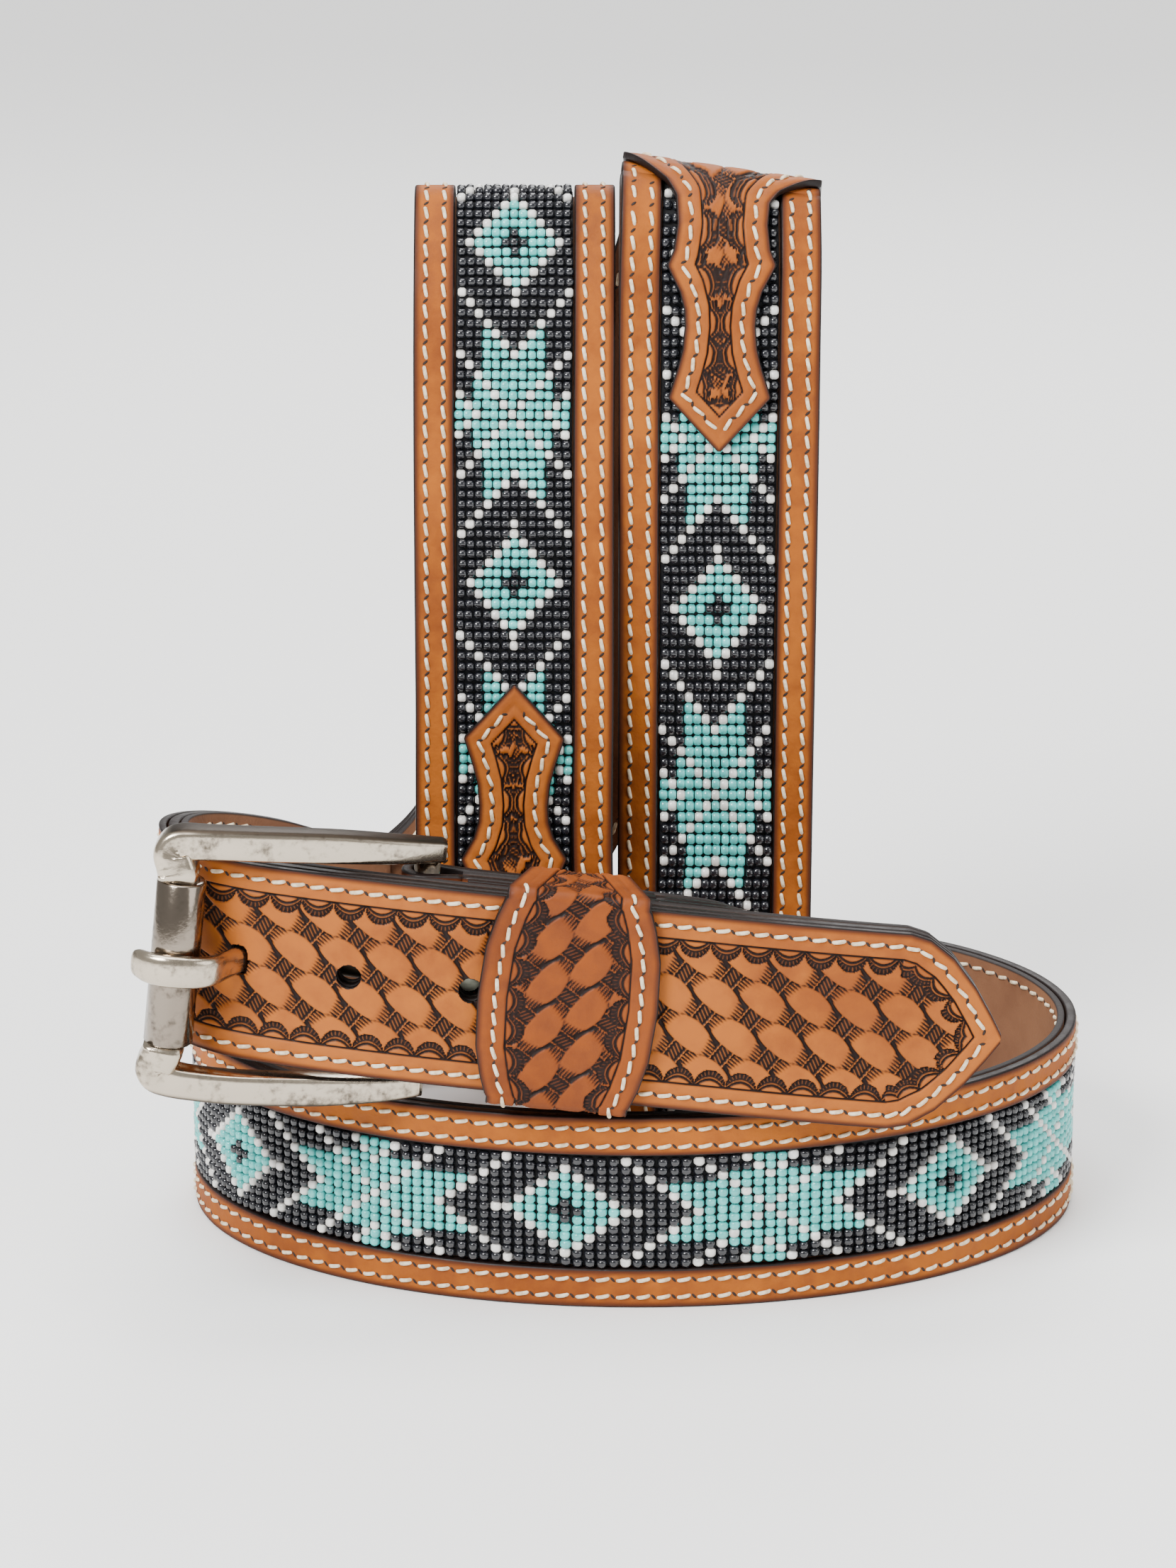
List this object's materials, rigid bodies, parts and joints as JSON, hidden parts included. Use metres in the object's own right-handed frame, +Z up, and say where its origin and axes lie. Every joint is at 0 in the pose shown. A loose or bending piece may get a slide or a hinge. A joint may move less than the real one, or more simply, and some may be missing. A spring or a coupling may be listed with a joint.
{
  "type": "leather belt",
  "caption": "Fastened strap belt with a beaded inlay, tooled ends, keeper and roller buckle, standing as a ring with two upright folds",
  "frame": {"origin": "middle of the ring on the surface it stands on, at the bottom centre of the bounding box", "axes": "+Z up, the buckle, the keeper and the billet face -Y, +X to the right towards the billet's tip, which is the shopper's view"},
  "size_m": [0.1786, 0.1364, 0.2039],
  "materials": {
    "lining": "suede-like smooth lining leather, mid brown",
    "strap": "burnished tan bridle leather with dark painted edges and cream stitching",
    "tooled": "tooled saddle leather, dark antiqued grooves, dark edges and cream stitching",
    "beads": "opaque glass seed beads in black, turquoise and white rows",
    "metal": "antiqued nickel-brass, worn bright on the high parts"
  },
  "bodies": {
    "root": {"lining": "lining", "outer_strap": "strap", "bead_inlay": "beads", "chape_overlay": "tooled", "billet_overlay": "tooled", "keeper": "tooled", "buckle_frame": "metal", "roller": "metal", "prong": "metal", "chape_screw": "metal"}
  },
  "joints": []
}
